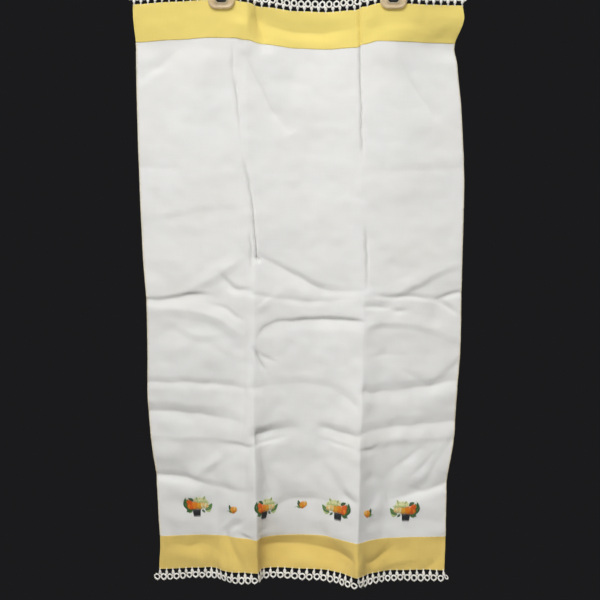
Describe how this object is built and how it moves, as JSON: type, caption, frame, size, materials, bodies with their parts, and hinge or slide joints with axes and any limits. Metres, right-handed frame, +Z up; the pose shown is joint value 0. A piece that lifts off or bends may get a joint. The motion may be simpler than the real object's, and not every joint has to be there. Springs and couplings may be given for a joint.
{
  "type": "embroidered table runner hung from hanger clips",
  "caption": "Linen table runner with yellow end borders, tatted lace edgings and a stitched row of fruit baskets, ironed in thirds and hung by one end from clear plastic hanger clips.",
  "frame": {"origin": "level with the flat tops of the hanger clips, above the middle of the cloth's width, in the plane of the cloth's back where the clips pinch it", "axes": "+X to the viewer's right across the cloth, +Z up, and the embroidered face looks along -Y"},
  "size_m": [0.3816, 0.0466, 0.7136],
  "materials": {
    "linen": "plain-woven white handkerchief linen, matt, softly creased",
    "yellow_linen": "plain-woven butter-yellow linen, matt, softly creased",
    "lace_thread": "tightly twisted cream cotton thread, tatted",
    "embroidery_thread": "stranded cotton in satin stitch, soft sheen, in oranges, yellows, greens and near black",
    "clear_plastic": "clear moulded plastic, glossy"
  },
  "bodies": {
    "root": {"linen_field": "linen", "upper_border": "yellow_linen", "lower_border": "yellow_linen", "upper_lace": "lace_thread", "lower_lace": "lace_thread", "left_clip_front_jaw": "clear_plastic", "left_clip_back_jaw": "clear_plastic", "left_clip_head": "clear_plastic", "right_clip_front_jaw": "clear_plastic", "right_clip_back_jaw": "clear_plastic", "right_clip_head": "clear_plastic"}
  },
  "joints": []
}
